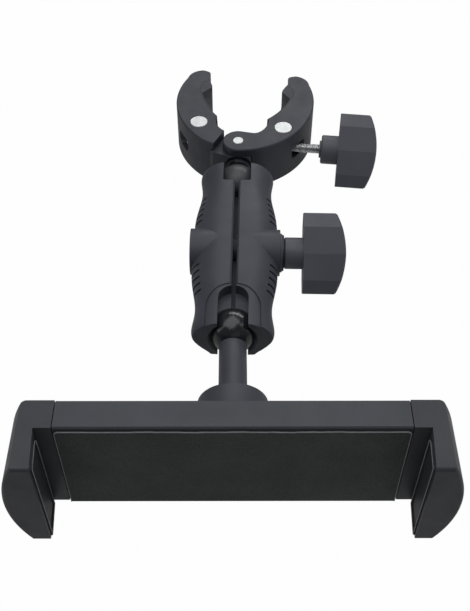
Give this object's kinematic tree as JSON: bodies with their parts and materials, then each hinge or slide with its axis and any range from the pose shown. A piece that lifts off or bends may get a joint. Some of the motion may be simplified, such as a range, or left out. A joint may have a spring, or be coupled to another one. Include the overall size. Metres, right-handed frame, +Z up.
{
  "type": "phone and tablet holder",
  "caption": "Spring-loaded cradle for a phone or tablet, on a double-socket ball arm with a screw-tightened bar clamp.",
  "frame": {"origin": "Axis of the bar that the clamp grips, at the middle of the clamp's thickness.", "axes": "+Z up along the bar; +X to the right, the side of both knobs; the arm runs to -Y, where the cradle faces."},
  "size_m": [0.1696, 0.2595, 0.0522],
  "materials": {
    "plastic": "fine satin grain",
    "cover_plastic": "smooth satin",
    "knob_plastic": "smooth satin",
    "rubber": "matt",
    "pad_rubber": "matt with a fine leather grain",
    "ball_plastic": "polished",
    "pin_steel": "turned",
    "screw_steel": "zinc plated",
    "black_steel": "blackened",
    "brass": "turned"
  },
  "bodies": {
    "clamp_left": {"clamp_left_jaw": "plastic", "clamp_left_pad": "rubber", "clamp_hinge_pin": "pin_steel", "upper_ball_stud": "screw_steel"},
    "clamp_right": {"clamp_right_jaw": "plastic", "clamp_right_pad": "rubber"},
    "left_barrel": {"clamp_left_barrel": "pin_steel"},
    "screw": {"clamp_screw": "screw_steel", "clamp_screw_clip": "screw_steel", "clamp_knob": "knob_plastic"},
    "right_barrel": {"clamp_right_barrel": "pin_steel"},
    "ball_upper": {"upper_ball": "ball_plastic"},
    "arm": {"arm_left_shell": "plastic", "arm_bolt": "screw_steel", "arm_spring": "screw_steel"},
    "arm_right": {"arm_right_shell": "plastic", "arm_plastic_washer": "cover_plastic", "arm_steel_washer": "black_steel"},
    "knob": {"arm_knob": "knob_plastic", "arm_knob_insert": "brass"},
    "ball_lower": {"lower_ball": "ball_plastic"},
    "cradle": {"lower_ball_stud": "screw_steel", "stem": "plastic", "flange_screws": "screw_steel", "cradle_front_housing": "cover_plastic", "cradle_back_cover": "cover_plastic", "cradle_cover_screws": "black_steel", "cradle_front_pad": "pad_rubber", "cradle_left_spring": "screw_steel", "cradle_right_spring": "screw_steel"},
    "left_end": {"cradle_left_jaw": "cover_plastic", "cradle_left_liner": "rubber", "cradle_left_slide": "plastic"},
    "right_end": {"cradle_right_jaw": "cover_plastic", "cradle_right_liner": "rubber", "cradle_right_slide": "plastic"}
  },
  "joints": [
    {"name": "jaw_hinge", "type": "hinge", "parent": "clamp_left", "child": "clamp_right", "pos_m": [-0.00351, -0.0308, 0], "axis": [0, 0, 1], "range_deg": [-8, 36]},
    {"name": "left_barrel_turn", "type": "hinge", "parent": "clamp_left", "child": "left_barrel", "pos_m": [-0.02365, -0.0154, 0], "axis": [0, 0, 1], "range_deg": [-4, 18]},
    {"name": "screw_turn", "type": "hinge", "parent": "left_barrel", "child": "screw", "pos_m": [-0.02365, -0.0154, 0], "axis": [0.9936, -0.1132, 0], "continuous": true},
    {"name": "right_barrel_turn", "type": "hinge", "parent": "clamp_right", "child": "right_barrel", "pos_m": [0.01958, -0.02033, 0], "axis": [0, 0, 1], "range_deg": [-18, 4]},
    {"name": "upper_ball_roll", "type": "hinge", "parent": "clamp_left", "child": "ball_upper", "pos_m": [-0.00396, -0.0501, 0], "axis": [0.0236, 0.9997, 0], "continuous": true},
    {"name": "upper_ball_tilt", "type": "hinge", "parent": "ball_upper", "child": "arm", "pos_m": [-0.00396, -0.0501, 0], "axis": [0.9997, -0.0236, 0], "range_deg": [-75, 75]},
    {"name": "arm_opening", "type": "slide", "parent": "arm", "child": "arm_right", "axis": [0.9997, -0.0236, 0], "range_m": [0, 0.0015]},
    {"name": "arm_knob_turn", "type": "hinge", "parent": "arm_right", "child": "knob", "pos_m": [-0.00509, -0.09778, 0], "axis": [0.9997, -0.0236, 0], "continuous": true},
    {"name": "lower_ball_tilt", "type": "hinge", "parent": "arm", "child": "ball_lower", "pos_m": [-0.00621, -0.14547, 0], "axis": [0.9997, -0.0236, 0], "range_deg": [-65, 65]},
    {"name": "lower_ball_roll", "type": "hinge", "parent": "ball_lower", "child": "cradle", "pos_m": [-0.00621, -0.14547, 0], "axis": [0, 1, 0], "continuous": true},
    {"name": "left_end_slide", "type": "slide", "parent": "cradle", "child": "left_end", "axis": [-1, 0, 0], "range_m": [0, 0.045], "stiffness_N_per_m": 100, "springref_m": -0.02, "deforming": ["cradle_left_spring"]},
    {"name": "right_end_slide", "type": "slide", "parent": "cradle", "child": "right_end", "axis": [1, 0, 0], "range_m": [0, 0.045], "stiffness_N_per_m": 100, "springref_m": -0.02, "deforming": ["cradle_right_spring"]}
  ],
  "couplings": [
    {"joint": "left_barrel_turn", "follows": "jaw_hinge", "ratio": 0.5},
    {"joint": "right_barrel_turn", "follows": "jaw_hinge", "ratio": -0.5}
  ]
}
